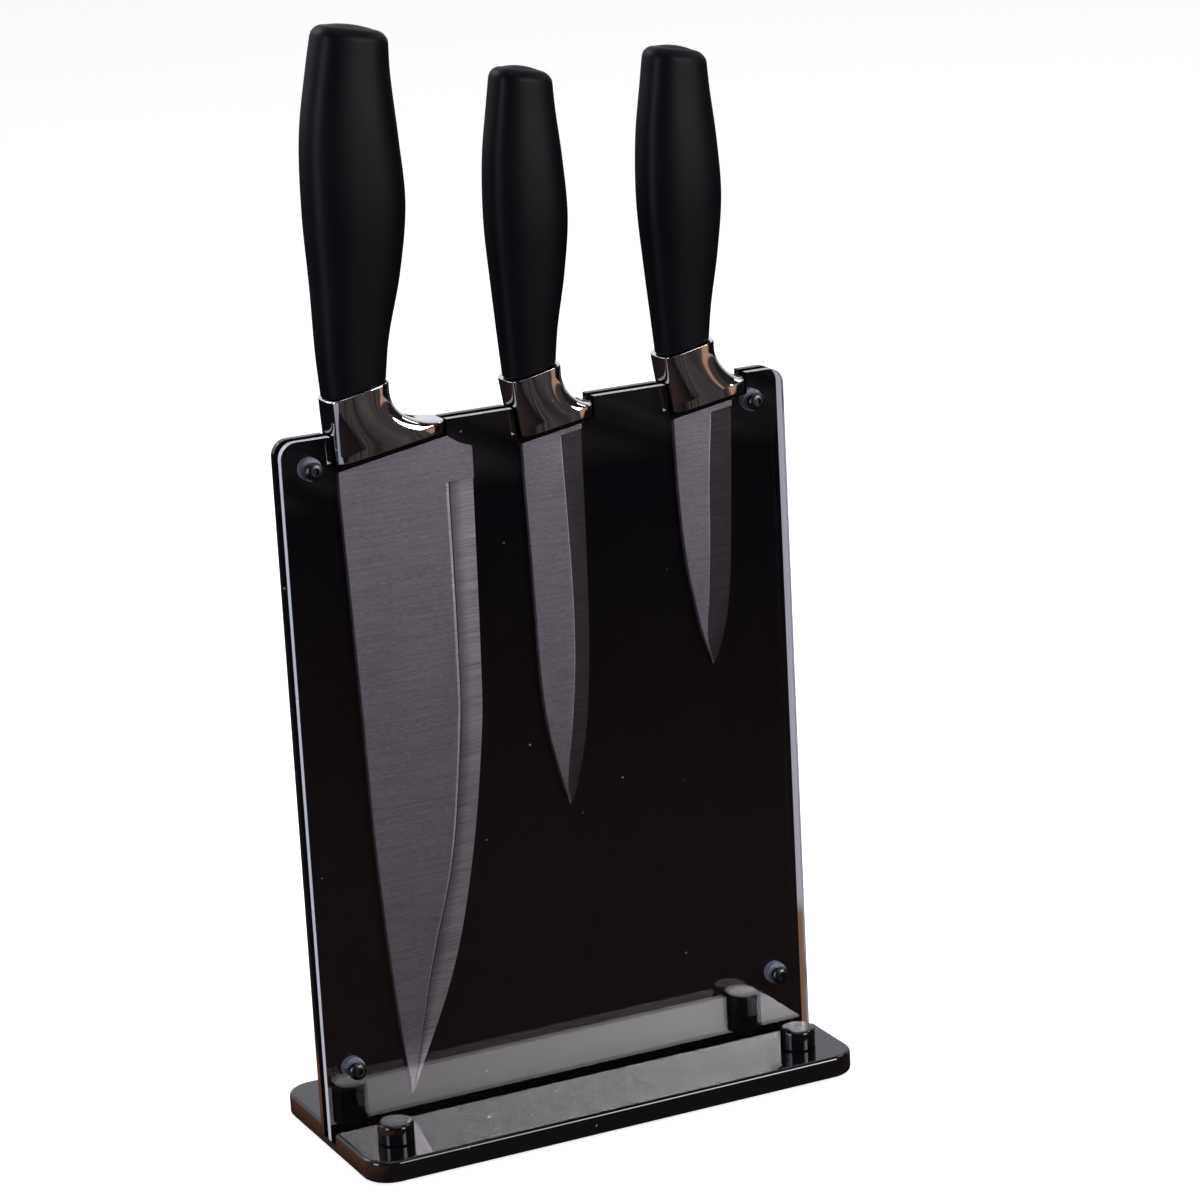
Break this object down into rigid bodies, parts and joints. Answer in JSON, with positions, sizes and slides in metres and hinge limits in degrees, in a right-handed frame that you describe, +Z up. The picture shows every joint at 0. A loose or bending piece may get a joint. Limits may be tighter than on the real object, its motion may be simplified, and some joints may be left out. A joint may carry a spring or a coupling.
{
  "type": "knife stand with knives",
  "caption": "Upright acrylic knife stand on a grooved base plate, a clear panel in front of a black one, with kitchen knives held blade down between them.",
  "frame": {"origin": "middle of the base plate's footprint, on the surface that the feet stand on", "axes": "+Z up along the knives, +X along the panels from the chef's knife to the paring knife, -Y out of the clear front panel"},
  "size_m": [0.1672, 0.075, 0.3433],
  "materials": {
    "black_acrylic": "polished black acrylic",
    "clear_acrylic": "polished clear acrylic",
    "black_post": "polished black acrylic rod",
    "spacer_plastic": "satin grey plastic tube",
    "black_screw": "black oxide steel",
    "plain_screw": "zinc plated steel",
    "foot_rubber": "matte black rubber",
    "blade_steel": "satin brushed along the width, edge bevel ground",
    "bolster_chrome": "mirror polished",
    "handle_plastic": "moulded black plastic",
    "grip_soft": "soft-touch matte black"
  },
  "bodies": {
    "stand": {"base_plate": "black_acrylic", "back_panel": "black_acrylic", "front_panel": "clear_acrylic", "spacer_top_left": "spacer_plastic", "spacer_top_right": "spacer_plastic", "spacer_bottom_left": "spacer_plastic", "spacer_bottom_right": "spacer_plastic", "panel_screw_top_left": "black_screw", "panel_screw_top_right": "black_screw", "panel_screw_bottom_left": "black_screw", "panel_screw_bottom_right": "black_screw", "cap_nut_top_left": "black_screw", "cap_nut_top_right": "black_screw", "cap_nut_bottom_left": "black_screw", "cap_nut_bottom_right": "black_screw", "post_left": "black_post", "post_right": "black_post", "post_screw_left": "plain_screw", "post_screw_right": "plain_screw", "foot_front_left": "foot_rubber", "foot_front_right": "foot_rubber", "foot_back_left": "foot_rubber", "foot_back_right": "foot_rubber"},
    "chef_knife": {"chef_blade": "blade_steel", "chef_bolster": "bolster_chrome", "chef_handle_core": "handle_plastic", "chef_grip": "grip_soft"},
    "utility_knife": {"utility_blade": "blade_steel", "utility_bolster": "bolster_chrome", "utility_handle_core": "handle_plastic", "utility_grip": "grip_soft"},
    "paring_knife": {"paring_blade": "blade_steel", "paring_bolster": "bolster_chrome", "paring_handle_core": "handle_plastic", "paring_grip": "grip_soft"}
  },
  "joints": [
    {"name": "chef_knife_lift", "type": "slide", "parent": "stand", "child": "chef_knife", "axis": [0, 0, 1], "range_m": [0, 0.216]},
    {"name": "utility_knife_lift", "type": "slide", "parent": "stand", "child": "utility_knife", "axis": [0, 0, 1], "range_m": [0, 0.133]},
    {"name": "paring_knife_lift", "type": "slide", "parent": "stand", "child": "paring_knife", "axis": [0, 0, 1], "range_m": [0, 0.097]}
  ]
}
